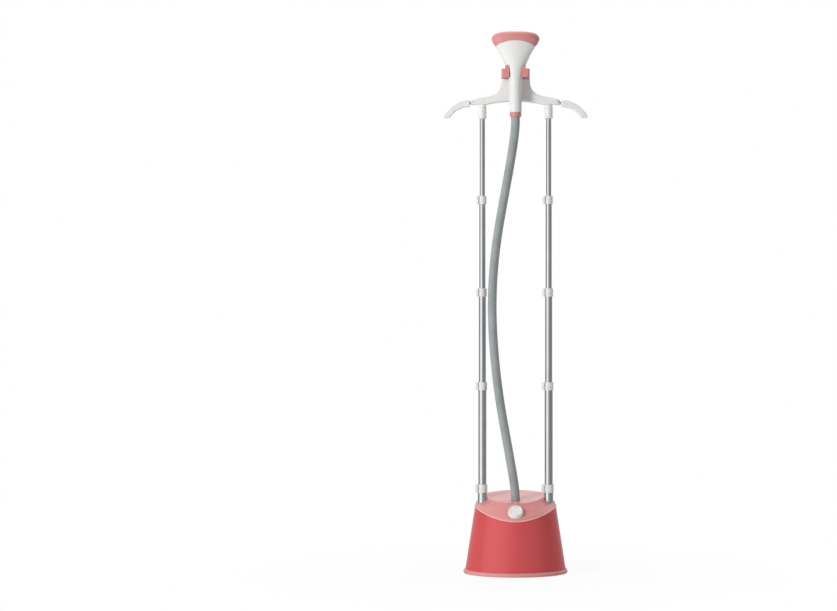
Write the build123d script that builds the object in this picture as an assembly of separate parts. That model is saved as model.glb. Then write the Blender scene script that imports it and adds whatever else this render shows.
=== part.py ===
from build123d import *
import os
from math import atan, cos, radians, sin, sqrt, tan

os.makedirs("parts", exist_ok=True)

# Upright garment steamer. Millimetres, +Z up, the front faces -Y, and the
# origin lies on the floor under the middle of the base.

# Base body: a tapered oval tub that stands on a flanged tray
flange_semi_x = 160.0          # half width of the flange at its widest
flange_semi_y = 141.0          # half depth of the flange
flange_top = 14.0              # height where the red body starts
flange_round = 5.0             # rounding of the flange's upper edge
lip_height = 2.5               # thin lower lip under the flange bead
lip_step = 1.6                 # how far the lip stands back from the bead
foot_height = 2.0              # gap between the lip and the floor
foot_radius = 9.0
foot_sink = 1.5                # depth of the pocket that holds a foot
foot_x = 100.0
foot_y = 82.0
body_foot_x = 156.4            # half width of the body carried down to the floor
body_foot_y = 137.4            # half depth of the body carried down to the floor
body_taper = 0.154             # how much the body draws in for each mm of height
form_top = 262.0               # height above which nothing of the base is left
shell_wall = 3.0
seam = 0.4                     # visible joint between two mouldings

# Deck: a gently rising top and a steep control band in front of it
top_tilt = 9.8                 # degrees by which the top rises to the rear
crease_y = -67.5               # front of the flat top, on the centre line
crease_z = 220.0
crease_semi_x = 88.0           # outline of the flat top, seen from above
crease_semi_y = 107.0
skirt_front_y = -137.4         # where the control band would end, carried on down
skirt_front_z = 149.7
skirt_semi_x = 212.8
skirt_semi_y = 144.8
skirt_tilt = 11.2              # degrees
lip_round = 5.0                # rolled edge of the deck
part_line_radius = 238.7       # the seam under the deck drops to the front on this cylinder
part_line_y = 21.5             # where the seam starts to drop
part_line_level = 206.2        # height of the seam at the rear
lid_front_y = 40.0             # straight seam between deck and tank lid

# Control knob and its switch
knob_y = -94.3                 # place on the control band
knob_radius = 23.5
knob_face_radius = 21.0
knob_height = 11.0
knob_dish_radius = 18.3
knob_dish_depth = 1.2
knob_gap = 0.6
pointer_length = 7.0
pointer_width = 3.0
pointer_height = 1.6
spindle_radius = 3.0
spindle_length = 20.0
spindle_clearance = 0.08
switch_radius = 16.0
switch_length = 20.0
light_radius = 3.0
light_y = -62.0
light_height = 5.0
light_proud = 1.8

# Telescopic poles: five tubes on each side
pole_x = 102.0
tube_wall = 1.2
tube_clearance = 0.3           # radial room between two nested tubes
tube_od = 28.4                 # the lowest and widest tube
tube_foot_z = 15.0             # lower end of the lowest tube
tube_overlap = 40.0            # length still nested when fully drawn out
stage_count = 5
collar_z = [260.0, 575.0, 863.0, 1147.0]
collar_height = 25.0
collar_radius = 15.6           # outside radius of the lowest collar
collar_step = 0.95             # each collar is this much slimmer than the one below
tube_in_collar = 2.0           # a tube ends this far above its collar's middle
socket_radius = 20.0
socket_top = 62.0
fit_gap = 0.05                 # room in a fixed fit

# Clamp levers, on the left of every collar
lever_thickness = 6.0
lever_gap = 0.5
lever_pivot_deg = 148.0        # place of the pivot round the pole
lever_tip_deg = 216.0          # place of the free end round the pole
lever_round = 1.8
lug_half_height = 4.0
lug_clearance = 0.45
lug_radius = 2.5
trunnion_radius = 1.2
trunnion_clearance = 0.06
trunnion_hold = 1.0            # length of the trunnion inside the lever

# Hanger on top of the poles
sleeve_z = 1398.0
sleeve_radius = 12.6
sleeve_neck_radius = 11.6
sleeve_neck_height = 7.0
tower_top = 1521.0
tower_half_width = 44.0
flare_x = 46.8                 # corner that the flare rounds off
flare_z = 1475.5
flare_radius = 40.0
arm_x = 135.5                  # outer end of the fixed arm
arm_top_z = 1456.0
arm_low_z = 1440.5
arm_mid_z = 1450.5             # underside at the centre line
hanger_half_depth = 16.0
hanger_round = 4.5
hanger_wall = 2.6

# Folding wings
wing_pin_x = 130.0
wing_pin_z = 1448.5
wing_pin_radius = 2.0
wing_pin_clearance = 0.08
wing_start_x = 140.5
tongue_half_depth = 6.0
tongue_gap = 0.5
tongue_round = 7.0
tongue_top = 1449.5
wing_top_z = 1454.0            # upper and lower corner of the wing's inner end
wing_low_z = 1433.5
wing_shoulder_x = 169.0        # where the wing starts to droop
wing_shoulder_top = 1450.5
wing_shoulder_low = 1428.5
wing_knee_x = 195.0
wing_knee_top = 1436.0
wing_knee_low = 1410.0
wing_toe_x = 203.0             # inner end of the rounded tip
wing_tip_x = 222.5
wing_tip_z = 1400.0
wing_half_depth = 13.0
wing_round = 4.0

# Steam head, hung in front of the tower
handle_y = -40.0
head_sections = [
    (1414.0, 19.0, 17.5),
    (1480.0, 19.2, 17.5),
    (1522.0, 20.6, 18.2),
    (1546.0, 26.6, 19.8),
    (1566.0, 35.0, 21.6),
    (1590.0, 46.5, 24.0),
    (1610.0, 58.4, 26.3),
    (1626.0, 68.8, 28.2),
    (1638.0, 73.2, 28.8),
    (1647.0, 70.2, 27.2),
    (1654.0, 62.0, 23.5),
    (1658.5, 49.0, 17.5),
    (1660.5, 36.0, 11.0),
]
head_wall = 2.5
bezel_arc_radius = 127.5       # edge between the white shell and the bezel
bezel_arc_top = 1631.5
plate_face_y = -21.0           # plane of the steam plate, at the rear of the head
plate_thickness = 3.0
plate_low_z = 1583.0
plate_margin = 5.0
plate_hole_radius = 1.8
plate_hole_pitch = 15.0
hose_collar_radius = 17.8
hose_collar_height = 14.0

# Cradle fork that the head hangs in
fork_half_width = 43.3
fork_height = 26.0
fork_front_y = -57.0
fork_rear_y = 14.0
fork_corner = 7.0
fork_gap_half = 19.5
fork_tip_height = 10.5
fork_tip_depth = 13.0
fork_tip_width = 12.0
cradle_clearance = 0.5

# Steam hose
hose_od = 27.0
hose_wall = 3.0
hose_room = 0.6                # room round the hose in the deck
bend_share = 0.45              # part of a run that each of its two bends takes up
hose_route = [
    (0.0, -26.0, 213.0),
    (0.0, -26.0, 250.0),
    (-9.5, -27.0, 312.0),
    (-26.0, -29.0, 405.0),
    (-47.0, -32.0, 520.0),
    (-63.0, -35.0, 645.0),
    (-71.5, -37.0, 770.0),
    (-71.0, -38.5, 885.0),
    (-61.0, -39.5, 1000.0),
    (-43.0, -40.3, 1110.0),
    (-23.5, -40.5, 1215.0),
    (-8.0, -40.3, 1305.0),
    (0.0, -40.0, 1368.0),
    (0.0, -40.0, 1400.0),
]

# Water tank and the well that it drops into
well_semi_x = 115.0
well_semi_y = 97.0
well_front_y = 42.0
well_wall = 2.0
well_floor_z = 64.0
tank_clearance = 1.0
tank_wall = 2.2
tank_floor_z = 68.0
valve_radius = 9.0
valve_height = 8.0
valve_y = 68.0

# Boiler and its pipes
boiler_y = -32.0
boiler_radius = 40.0
boiler_height = 82.0
boiler_wall = 4.0
boiler_cover_height = 8.0
pipe_radius = 9.0
pipe_wall = 2.0
pipe_flange_radius = 12.5
pipe_flange_height = 4.0
pipe_y = -26.0
thermostat_radius = 9.0
thermostat_height = 7.0
feed_radius = 5.0
feed_wall = 1.2
feed_z = 32.0
feed_bend = 14.0
screw_radius = 2.2
screw_head_radius = 4.2
screw_head_height = 1.4
screw_length = 9.0
gland_radius = 9.0
gland_bore = 4.0
gland_z = 46.0
gland_proud = 4.0


def export(name, shape):
    """Write one sub-part to its own file."""
    export_step(shape, f"parts/{name}.step")


def semi_x(z):
    """Half width of the tapered body at a height."""
    return body_foot_x - body_taper * z


def semi_y(z):
    """Half depth of the tapered body at a height."""
    return body_foot_y - body_taper * z


def tube_radius(stage):
    """Outside radius of a pole tube, stage 0 being the lowest."""
    return tube_od / 2 - stage * (tube_wall + tube_clearance)


def upright(radius, z_low, z_high, x=0.0, y=0.0):
    """Vertical cylinder between two heights."""
    return Pos(x, y, (z_low + z_high) / 2) * Cylinder(radius, z_high - z_low)


def block(x_low, x_high, y_low, y_high, z_low, z_high):
    """Box between two corners."""
    middle = Pos((x_low + x_high) / 2, (y_low + y_high) / 2, (z_low + z_high) / 2)
    return middle * Box(x_high - x_low, y_high - y_low, z_high - z_low)


def oval_face(plane, half_x, half_y):
    """Oval of two half ellipses that meet on the plane's own Y axis."""
    if half_x >= half_y:
        right = EllipticalCenterArc((0, 0), half_x, half_y, -90, arc_size=180)
        left = EllipticalCenterArc((0, 0), half_x, half_y, 90, arc_size=180)
    else:
        right = EllipticalCenterArc((0, 0), half_y, half_x, 180, arc_size=180, rotation=90)
        left = EllipticalCenterArc((0, 0), half_y, half_x, 0, arc_size=180, rotation=90)
    return plane * make_face([right, left])


def body_form(inset, z_low, z_high):
    """Tapered oval block of the base, drawn in by an inset all round."""
    ovals = []
    for z in (z_low, z_high):
        ovals.append(oval_face(Plane.XY.offset(z), semi_x(z) - inset, semi_y(z) - inset))
    return loft(ovals, ruled=True)


def deck_plane(front_y, front_z, half_y, tilt, inset):
    """Tilted plane through a front point, with its origin at the oval's middle."""
    middle_y = front_y + half_y
    middle_z = front_z + half_y * tan(radians(tilt))
    normal = Vector(0, -sin(radians(tilt)), cos(radians(tilt)))
    return Plane(Vector(0, middle_y, middle_z) - normal * inset, x_dir=(1, 0, 0), z_dir=normal)


def deck_cap(inset):
    """Everything under the flat top and the control band, which spreads out below it."""
    crease = deck_plane(crease_y, crease_z, crease_semi_y, top_tilt, inset)
    skirt = deck_plane(skirt_front_y, skirt_front_z, skirt_semi_y, skirt_tilt, inset)
    top = oval_face(crease, crease_semi_x - inset, crease_semi_y / cos(radians(top_tilt)) - inset)
    foot = oval_face(skirt, skirt_semi_x - inset, skirt_semi_y / cos(radians(skirt_tilt)) - inset)
    return loft([foot, top], ruled=True)


def band_height(y):
    """Height of the control band on the centre line."""
    slope = (crease_z - skirt_front_z) / (crease_y - skirt_front_y)
    return crease_z + slope * (y - crease_y)


def top_height(y):
    """Height of the flat top on the centre line."""
    return crease_z + tan(radians(top_tilt)) * (y - crease_y)


def above_part_line(lift):
    """Region above the seam: over a cylinder in front, over a level plane behind."""
    radius = part_line_radius + lift
    middle_z = part_line_level - part_line_radius
    level = part_line_level + lift
    front = part_line_y - radius
    far = 2 * flange_semi_y
    wide = 2 * flange_semi_x
    ahead = front - seam
    high = 2 * form_top
    outline = Polyline((far, level), (far, high), (ahead, high), (ahead, middle_z))
    sill = Line((ahead, middle_z), (front, middle_z))
    curve = CenterArc((part_line_y, middle_z), radius, 180, -90)
    ledge = Line((part_line_y, level), (far, level))
    profile = make_face([outline, sill, curve, ledge])
    return extrude(Plane.YZ * profile, amount=wide, both=True)


band_slope = atan((crease_z - skirt_front_z) / (crease_y - skirt_front_y))
band_normal = Vector(0, -sin(band_slope), cos(band_slope))
knob_seat = Vector(0, knob_y, band_height(knob_y))
knob_plane = Plane(knob_seat, x_dir=(1, 0, 0), z_dir=band_normal)

lip_z = foot_height
bead_z = lip_z + lip_height
tank_rim_z = part_line_level + seam / 2
screw_spots = [(-pole_x, 0.0), (pole_x, 0.0)]
foot_spots = [(sx * foot_x, sy * foot_y) for sx in (-1, 1) for sy in (-1, 1)]


def make_tray():
    """Flanged floor tray with pockets for the feet and holes for the screws."""
    bead = extrude(oval_face(Plane.XY.offset(bead_z), flange_semi_x, flange_semi_y), flange_top - bead_z)
    bead = fillet(bead.faces().sort_by(Axis.Z)[-1].edges(), flange_round)
    lip_x = flange_semi_x - lip_step
    lip_y = flange_semi_y - lip_step
    lip = extrude(oval_face(Plane.XY.offset(lip_z), lip_x, lip_y), lip_height)
    rim_x = semi_x(flange_top) - 2 * shell_wall
    rim_y = semi_y(flange_top) - 2 * shell_wall
    pocket = extrude(oval_face(Plane.XY.offset(bead_z), rim_x, rim_y), flange_top)
    tray = bead + lip - pocket
    for x, y in foot_spots:
        tray -= upright(foot_radius, 0, lip_z + foot_sink, x, y)
    for x, y in screw_spots:
        tray -= upright(screw_radius + fit_gap, lip_z, bead_z, x, y)
        tray -= upright(screw_head_radius + fit_gap, 0, lip_z + screw_head_height, x, y)
    return tray


def make_feet():
    """Four rubber feet, standing a little below the tray."""
    feet = [upright(foot_radius - fit_gap, 0, lip_z + foot_sink, x, y) for x, y in foot_spots]
    return Compound(feet)


def make_screws():
    """Screws that hold the pole sockets down on the tray."""
    screws = []
    for x, y in screw_spots:
        head = upright(screw_head_radius, lip_z, lip_z + screw_head_height, x, y)
        shank = upright(screw_radius, lip_z + screw_head_height, lip_z + screw_length, x, y)
        screws.append((head + shank).solid())
    return Compound(screws)


def make_sockets():
    """Two cups that carry the lowest tubes."""
    cups = []
    for x, y in screw_spots:
        cup = upright(socket_radius, bead_z, socket_top, x, y)
        cup -= upright(tube_radius(0) + fit_gap, tube_foot_z, socket_top, x, y)
        cup -= upright(screw_radius + fit_gap, bead_z, tube_foot_z, x, y)
        cups.append(cup.solid())
    return Compound(cups)


def make_shell():
    """Red tapered body wall, cut along the seam under the deck, with the cord gland's hole."""
    outer = body_form(0, flange_top, form_top)
    inner = body_form(shell_wall, flange_top, form_top)
    shell = outer - inner - above_part_line(0)
    return shell - gland_hole(gland_radius)


def gland_hole(radius):
    """Level rod through the rear wall, where the mains lead would enter."""
    depth = 4 * shell_wall
    return Pos(0, semi_y(gland_z), gland_z) * Rot(90, 0, 0) * Cylinder(radius, depth)


def make_gland():
    """Cord gland: a flanged bush in the rear wall, with an open bore."""
    wall_y = semi_y(gland_z)
    back = Plane((0, wall_y - 2 * shell_wall, gland_z), x_dir=(1, 0, 0), z_dir=(0, 1, 0))
    bush = extrude(back * Circle(gland_radius - fit_gap), 2 * shell_wall + gland_proud)
    bore = extrude(back * Circle(gland_bore), 2 * shell_wall + gland_proud)
    return bush - bore


def deck_skin():
    """Deck and tank lid in one: the filleted outer form above the seam."""
    form = body_form(0, flange_top, form_top) & deck_cap(0)
    crest = [e for e in form.edges() if e.bounding_box().min.Z > skirt_front_z + 2 * lip_round]
    crest = [e for e in crest if e.bounding_box().size.X > lip_round]
    return fillet(crest, lip_round) & above_part_line(seam)


def deck_hollow():
    """Space inside the deck and the lid."""
    return body_form(shell_wall, flange_top, form_top) & deck_cap(shell_wall)


def behind(y):
    """Everything behind a straight seam."""
    return block(-flange_semi_x, flange_semi_x, y, flange_semi_y, 0, form_top)


def make_deck(skin, hollow):
    """Pink deck in front of the tank lid, with its holes."""
    deck = skin - hollow - behind(lid_front_y)
    for side in (-1, 1):
        deck -= upright(tube_radius(0) + tube_clearance, 0, form_top, side * pole_x)
    deck -= upright(hose_od / 2 + hose_room, 0, form_top, hose_route[0][0], hose_route[0][1])
    deck -= upright(light_radius + fit_gap, 0, form_top, 0, light_y)
    deck -= knob_plane * Cylinder(spindle_radius + tube_clearance, 4 * shell_wall)
    return deck


def make_knob():
    """Control knob with a dished face, a pointer ridge and its spindle."""
    seat = knob_plane.offset(knob_gap)
    knob = seat * (Pos(0, 0, knob_height / 2) * Cone(knob_radius, knob_face_radius, knob_height))
    rim = knob.faces().sort_by(lambda f: (f.center() - seat.origin).dot(seat.z_dir))[-1]
    knob = fillet(rim.edges(), knob_dish_depth)
    knob -= seat.offset(knob_height - knob_dish_depth) * extrude(Circle(knob_dish_radius), knob_dish_depth)
    ridge = Box(pointer_width, pointer_length, pointer_height)
    ridge = Pos(0, knob_dish_radius - pointer_length / 2, 0) * ridge
    knob += seat.offset(knob_height - knob_dish_depth + pointer_height / 2) * ridge
    spindle = seat * (Pos(0, 0, -spindle_length / 2) * Cylinder(spindle_radius, spindle_length))
    return knob + spindle


def make_switch():
    """Rotary switch under the deck, bored for the knob's spindle."""
    wall = shell_wall * (sin(band_slope) + cos(band_slope))
    back = knob_plane.offset(-wall - 2 * seam)
    switch = back * (Pos(0, 0, -switch_length / 2) * Cylinder(switch_radius, switch_length))
    return switch - back * Cylinder(spindle_radius + spindle_clearance, 2 * switch_length + spindle_length)


def make_light():
    """Indicator lens let into the deck."""
    z = top_height(light_y)
    lens = upright(light_radius, z - light_height, z + light_proud, 0, light_y)
    return fillet(lens.faces().sort_by(Axis.Z)[-1].edges(), light_proud / 2)


def tank_outline(inset):
    """D-shaped plan of the well, drawn in by an inset."""
    oval = oval_face(Plane.XY, well_semi_x - inset, well_semi_y - inset)
    front = well_front_y + inset
    half = Pos(0, front + well_semi_y / 2) * Rectangle(2 * well_semi_x, well_semi_y)
    return oval & half


def prism(face, z_low, z_high):
    """Upright prism on a plan."""
    return extrude(Pos(0, 0, z_low) * face, z_high - z_low)


def make_well():
    """Tub that the tank drops into, on a skirt that stands on the tray."""
    top = part_line_level
    well = prism(tank_outline(0), bead_z, top)
    well -= prism(tank_outline(well_wall), bead_z, well_floor_z - well_wall)
    well -= prism(tank_outline(well_wall), well_floor_z, top)
    well -= upright(valve_radius + tank_clearance, 0, form_top, 0, valve_y)
    feed = Rot(90, 0, 0) * Cylinder(feed_radius + tube_clearance, 4 * well_wall)
    return well - Pos(0, well_front_y, feed_z) * feed


def make_tank():
    """Water tank: an open vessel that the lid closes."""
    inset = well_wall + tank_clearance
    tank = prism(tank_outline(inset), tank_floor_z, tank_rim_z)
    tank -= prism(tank_outline(inset + tank_wall), tank_floor_z + tank_wall, tank_rim_z)
    return tank - upright(valve_radius / 2, 0, tank_floor_z + tank_wall, 0, valve_y)


def make_valve():
    """Outlet valve under the tank."""
    valve = upright(valve_radius, tank_floor_z - valve_height, tank_floor_z, 0, valve_y)
    return valve - upright(valve_radius / 3, 0, tank_floor_z, 0, valve_y)


def make_lid(skin, hollow):
    """Pink tank lid: the rear of the deck form with a floor of its own."""
    floor_z = tank_rim_z + shell_wall
    front = lid_front_y + seam + shell_wall
    room = hollow & block(-flange_semi_x, flange_semi_x, front, flange_semi_y, floor_z, form_top)
    return (skin & behind(lid_front_y + seam)) - room


def make_boiler():
    """Boiler pot on the tray."""
    pot = upright(boiler_radius, bead_z, bead_z + boiler_height, 0, boiler_y)
    inside = boiler_radius - boiler_wall
    pot -= upright(inside, bead_z + boiler_wall, bead_z + boiler_height, 0, boiler_y)
    inlet = Rot(90, 0, 0) * Cylinder(feed_radius - feed_wall, 4 * boiler_wall)
    return pot - Pos(0, boiler_y + boiler_radius, feed_z) * inlet


def make_boiler_cover():
    """Cover of the boiler, with the steam outlet."""
    low = bead_z + boiler_height
    cover = upright(boiler_radius, low, low + boiler_cover_height, 0, boiler_y)
    return cover - upright(pipe_radius - pipe_wall, low, low + boiler_cover_height, 0, pipe_y)


def make_steam_pipe():
    """Upright pipe from the boiler to the hose."""
    low = bead_z + boiler_height + boiler_cover_height
    pipe = upright(pipe_radius, low, hose_route[0][2], 0, pipe_y)
    pipe += upright(pipe_flange_radius, hose_route[0][2] - pipe_flange_height, hose_route[0][2], 0, pipe_y)
    return pipe - upright(pipe_radius - pipe_wall, low, hose_route[0][2], 0, pipe_y)


def make_thermostat():
    """Thermostat button on the boiler's cover."""
    low = bead_z + boiler_height + boiler_cover_height
    x = boiler_radius - thermostat_radius - boiler_wall
    return upright(thermostat_radius, low, low + thermostat_height, x, boiler_y)


def make_feed_tube():
    """Bent tube from under the tank's valve to the boiler."""
    start_z = tank_floor_z - valve_height - tank_clearance
    route = FilletPolyline(
        (0, valve_y, start_z), (0, valve_y, feed_z), (0, boiler_y + boiler_radius, feed_z), radius=feed_bend
    )
    ring = Circle(feed_radius) - Circle(feed_radius - feed_wall)
    return sweep(Plane((0, valve_y, start_z), z_dir=(0, 0, -1)) * ring, path=route)


def tube_span(stage):
    """Lower and upper end of a pole tube."""
    low = tube_foot_z if stage == 0 else collar_z[stage - 1] + tube_in_collar - tube_overlap
    last = stage == stage_count - 1
    high = arm_low_z - fit_gap if last else collar_z[stage] + tube_in_collar
    return low, high


def make_tube(side, stage):
    """One pole tube."""
    low, high = tube_span(stage)
    radius = tube_radius(stage)
    tube = upright(radius, low, high, side * pole_x)
    return tube - upright(radius - tube_wall, low, high, side * pole_x)


def ring_radius(stage):
    """Outside radius of a clamp collar."""
    return collar_radius - stage * collar_step


def pivot_place(side, stage):
    """Axis of a clamp lever's pivot, beside its pole."""
    reach = ring_radius(stage) + lever_gap + lever_thickness / 2
    angle = radians(lever_pivot_deg)
    return side * pole_x + reach * cos(angle), reach * sin(angle)


def make_collar(side, stage):
    """Clamp collar: a stepped ring with a lug for the lever."""
    x = side * pole_x
    z = collar_z[stage]
    low = z - collar_height / 2
    high = z + collar_height / 2
    ring = upright(ring_radius(stage), low, high, x)
    ring = fillet(ring.edges().filter_by(GeomType.CIRCLE), tube_wall / 2)
    px, py = pivot_place(side, stage)
    lug = upright(lug_radius, z - lug_half_height, z + lug_half_height, px, py)
    reach = ring_radius(stage) + lever_gap + lever_thickness / 2
    arm = Pos(x, 0, z) * Rot(0, 0, lever_pivot_deg) * Pos(reach / 2, 0, 0)
    lug += arm * Box(reach, 2 * lug_radius, 2 * lug_half_height)
    lug -= upright(trunnion_radius + trunnion_clearance, low, high, px, py)
    collar = ring + lug
    collar -= upright(tube_radius(stage) + fit_gap, low, z + tube_in_collar, x)
    return collar - upright(tube_radius(stage + 1) + tube_clearance, low, high, x)


def lever_plan(stage):
    """Plan of a lever: a ring sector with round ends, about the pole's axis."""
    inner = ring_radius(stage) + lever_gap
    outer = inner + lever_thickness
    middle = (inner + outer) / 2
    sweep_deg = lever_tip_deg - lever_pivot_deg
    near = Vector(inner, 0).rotate(Axis.Z, lever_pivot_deg)
    far = Vector(outer, 0).rotate(Axis.Z, lever_pivot_deg)
    near_tip = Vector(inner, 0).rotate(Axis.Z, lever_tip_deg)
    far_tip = Vector(outer, 0).rotate(Axis.Z, lever_tip_deg)
    inside = CenterArc((0, 0), inner, lever_pivot_deg, sweep_deg)
    outside = CenterArc((0, 0), outer, lever_pivot_deg, sweep_deg)
    sector = make_face([inside, Line(near_tip, far_tip), outside, Line(far, near)])
    ends = Sketch() + sector
    for angle in (lever_pivot_deg, lever_tip_deg):
        spot = Vector(middle, 0).rotate(Axis.Z, angle)
        ends += Pos(spot.X, spot.Y) * Circle(lever_thickness / 2)
    return ends


def make_lever(side, stage):
    """Clamp lever with a trunnion moulded on, cut away round the collar's lug."""
    x = side * pole_x
    z = collar_z[stage]
    low = z - collar_height / 2
    lever = extrude(Pos(x, 0, low) * lever_plan(stage), collar_height)
    ends = lever.faces().filter_by(Axis.Z).edges()
    lever = fillet(ends, lever_round)
    px, py = pivot_place(side, stage)
    half = lug_half_height + lug_clearance
    lever -= upright(lever_thickness, z - half, z + half, px, py)
    reach = half + trunnion_hold
    return lever + upright(trunnion_radius, z - reach, z + reach, px, py)


def make_sleeves():
    """White sleeves that plug the top tubes into the hanger."""
    sleeves = []
    for side in (-1, 1):
        x = side * pole_x
        neck_z = arm_low_z - sleeve_neck_height
        sleeve = upright(sleeve_radius, sleeve_z, neck_z, x)
        sleeve = fillet(sleeve.edges().filter_by(GeomType.CIRCLE), tube_wall)
        sleeve += upright(sleeve_neck_radius, neck_z, arm_low_z - fit_gap, x)
        sleeve -= upright(tube_radius(stage_count - 1) + fit_gap, sleeve_z, arm_low_z, x)
        sleeves.append(sleeve.solid())
    return Compound(sleeves)


def hanger_outline():
    """Front view of the hanger: tower, concave flares and drooping arms."""
    rim = Line((0, tower_top), (tower_half_width, tower_top))
    flare = FilletPolyline(
        (tower_half_width, tower_top), (flare_x, flare_z), (arm_x, arm_top_z), radius=flare_radius
    )
    end = Line((arm_x, arm_top_z), (arm_x, arm_low_z))
    flat_x = pole_x - sleeve_radius
    ledge = Line((arm_x, arm_low_z), (flat_x, arm_low_z))
    belly = TangentArc((0, arm_mid_z), (flat_x, arm_low_z), tangent=(1, 0))
    spine = Line((0, arm_mid_z), (0, tower_top))
    half = make_face([rim, flare, end, ledge, belly, spine])
    return half + mirror(half, Plane.YZ)


def make_hanger_half(facing):
    """Front (-1) or rear (1) half of the hollow hanger body, with the wings' slots."""
    plane = Plane((0, facing * seam / 2, 0), x_dir=(1, 0, 0), z_dir=(0, -1, 0))
    face = hanger_outline()
    depth = hanger_half_depth - seam / 2
    half = extrude(plane * face, -facing * depth)
    skin = half.faces().filter_by(Axis.Y).sort_by(Axis.Y)[0 if facing < 0 else -1]
    half = fillet(skin.edges(), hanger_round)
    slot_x = wing_pin_x - tongue_round - tongue_gap
    core = offset(face, -hanger_wall, kind=Kind.INTERSECTION)
    core &= Pos(0, tower_top) * Rectangle(2 * (slot_x - hanger_wall), tower_top)
    half -= extrude(plane * core, -facing * (depth - hanger_wall))
    deep = tongue_half_depth + tongue_gap
    for side in (-1, 1):
        low_x = min(side * slot_x, side * arm_x)
        high_x = max(side * slot_x, side * arm_x)
        half -= block(low_x, high_x, -deep, deep, 0, 2 * tower_top)
        half -= wing_pin(side, wing_pin_radius + fit_gap, 2 * hanger_half_depth)
    return half.solid()


def wing_pin(side, radius, length):
    """Level rod on a wing's hinge axis."""
    return Pos(side * wing_pin_x, 0, wing_pin_z) * Rot(90, 0, 0) * Cylinder(radius, length)


def make_wing_pins():
    """Hinge pins of the two wings."""
    length = 2 * (hanger_half_depth - hanger_round)
    return Compound([wing_pin(side, wing_pin_radius, length) for side in (-1, 1)])


def make_wing(side):
    """Folding wing: a drooping tip with a tongue that turns on the pin."""
    over = Spline(
        (side * wing_start_x, wing_top_z),
        (side * wing_shoulder_x, wing_shoulder_top),
        (side * wing_knee_x, wing_knee_top),
        (side * wing_tip_x, wing_tip_z + wing_round),
    )
    under = Spline(
        (side * wing_toe_x, wing_tip_z),
        (side * wing_knee_x, wing_knee_low),
        (side * wing_shoulder_x, wing_shoulder_low),
        (side * wing_start_x, wing_low_z),
    )
    tip = Polyline(
        (side * wing_tip_x, wing_tip_z + wing_round),
        (side * (wing_tip_x - wing_round), wing_tip_z),
        (side * wing_toe_x, wing_tip_z),
    )
    root = Line((side * wing_start_x, wing_low_z), (side * wing_start_x, wing_top_z))
    face = make_face([over, tip, under, root])
    wing = extrude(Plane.XZ * face, wing_half_depth, both=True)
    wing = fillet(wing.faces().filter_by(Axis.Y).edges(), wing_round)
    near = min(side * wing_pin_x, side * (wing_start_x + wing_round))
    far = max(side * wing_pin_x, side * (wing_start_x + wing_round))
    low = wing_pin_z - tongue_round
    tongue = block(near, far, -tongue_half_depth, tongue_half_depth, low, tongue_top)
    knuckle = wing_pin(side, tongue_round, 2 * tongue_half_depth)
    wing = wing + tongue + knuckle
    return wing - wing_pin(side, wing_pin_radius + wing_pin_clearance, 2 * wing_half_depth)


def head_form(grow):
    """Outer form of handle and head: ovals stacked along the handle, grown by an amount."""
    ovals = []
    for z, half_x, half_y in head_sections:
        plane = Plane.XY.offset(z)
        ovals.append(Pos(0, handle_y, 0) * oval_face(plane, half_x + grow, half_y + grow))
    return loft(ovals, ruled=True)


def bezel_drum(radius):
    """Level drum whose upper side is the edge of the white shell."""
    z = bezel_arc_top - bezel_arc_radius
    return Pos(0, handle_y, z) * Rot(90, 0, 0) * Cylinder(radius, 4 * hanger_half_depth + flange_semi_y)


def plate_room(thickness):
    """Slab behind the steam plate's face, above the plate's lower edge."""
    front = plate_face_y - thickness
    high = head_sections[-1][0]
    return block(-flange_semi_x, flange_semi_x, front, 0, plate_low_z, 2 * high)


def make_head(outer, inner):
    """White shell of handle and head, and the bezel round its top."""
    shell = outer - inner - plate_room(plate_thickness)
    white = shell & bezel_drum(bezel_arc_radius)
    pink = shell - bezel_drum(bezel_arc_radius + seam)
    return white, pink


def make_plate(outer):
    """Steam plate with rows of holes, closing the rear of the head."""
    front = plate_face_y - plate_thickness + fit_gap
    high = head_sections[-1][0]
    plate = outer & block(-flange_semi_x, flange_semi_x, front, plate_face_y, plate_low_z + fit_gap, high)
    top = head_sections[-1][0] - 2 * plate_margin - plate_hole_pitch
    row_z = plate_low_z + plate_hole_pitch
    while row_z < top:
        half = plate_half_width(row_z) - 2 * plate_margin
        count = int(half // plate_hole_pitch)
        for i in range(-count, count + 1):
            hole = Pos(i * plate_hole_pitch, plate_face_y, row_z) * Rot(90, 0, 0)
            plate -= hole * Cylinder(plate_hole_radius, 4 * plate_thickness)
        row_z += plate_hole_pitch
    return plate


def plate_half_width(z):
    """Half width of the head at a height, from the stacked ovals."""
    for lower, upper in zip(head_sections, head_sections[1:]):
        if lower[0] <= z <= upper[0]:
            part = (z - lower[0]) / (upper[0] - lower[0])
            half_x = lower[1] + part * (upper[1] - lower[1])
            half_y = lower[2] + part * (upper[2] - lower[2])
            return half_x * sqrt(max(0.0, 1 - ((plate_face_y - handle_y) / half_y) ** 2))
    return 0.0


def make_hose_collar():
    """Pink collar where the hose enters the handle."""
    top = head_sections[0][0]
    low = top - hose_collar_height
    ring = upright(hose_collar_radius, low, top, 0, handle_y)
    ring = fillet(ring.edges().filter_by(GeomType.CIRCLE), head_wall / 2)
    return ring - upright(hose_od / 2 - hose_wall, low, top, 0, handle_y)


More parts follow.
